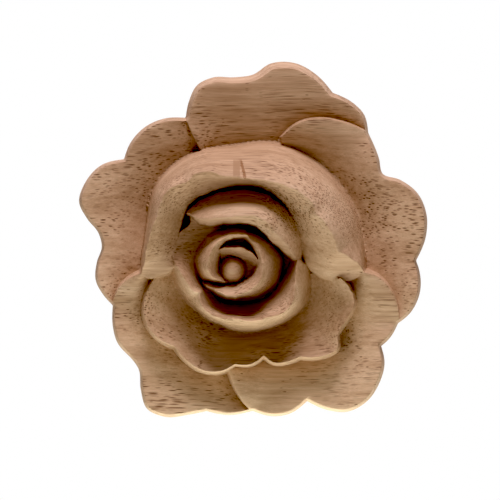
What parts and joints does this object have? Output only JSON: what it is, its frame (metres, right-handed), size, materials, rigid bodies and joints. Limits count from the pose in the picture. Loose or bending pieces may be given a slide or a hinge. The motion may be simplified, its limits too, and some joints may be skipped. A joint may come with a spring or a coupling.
{
  "type": "carved wood rose applique",
  "caption": "Open rose carved in relief from one block of bare wood, with a flat back, to be glued or pinned to furniture, a door or a panel as an ornament.",
  "frame": {"origin": "on the flat back, at the middle of the outline's width and height", "axes": "+Y out of the flat back into the panel it is fixed to, so the carving faces -Y; +Z towards the top petal; +X to the right seen from the front"},
  "size_m": [0.0998, 0.028, 0.102],
  "materials": {
    "rubberwood": "bare sanded rubberwood, open pores, no varnish"
  },
  "bodies": {
    "root": {"carved_rose": "rubberwood"}
  },
  "joints": []
}
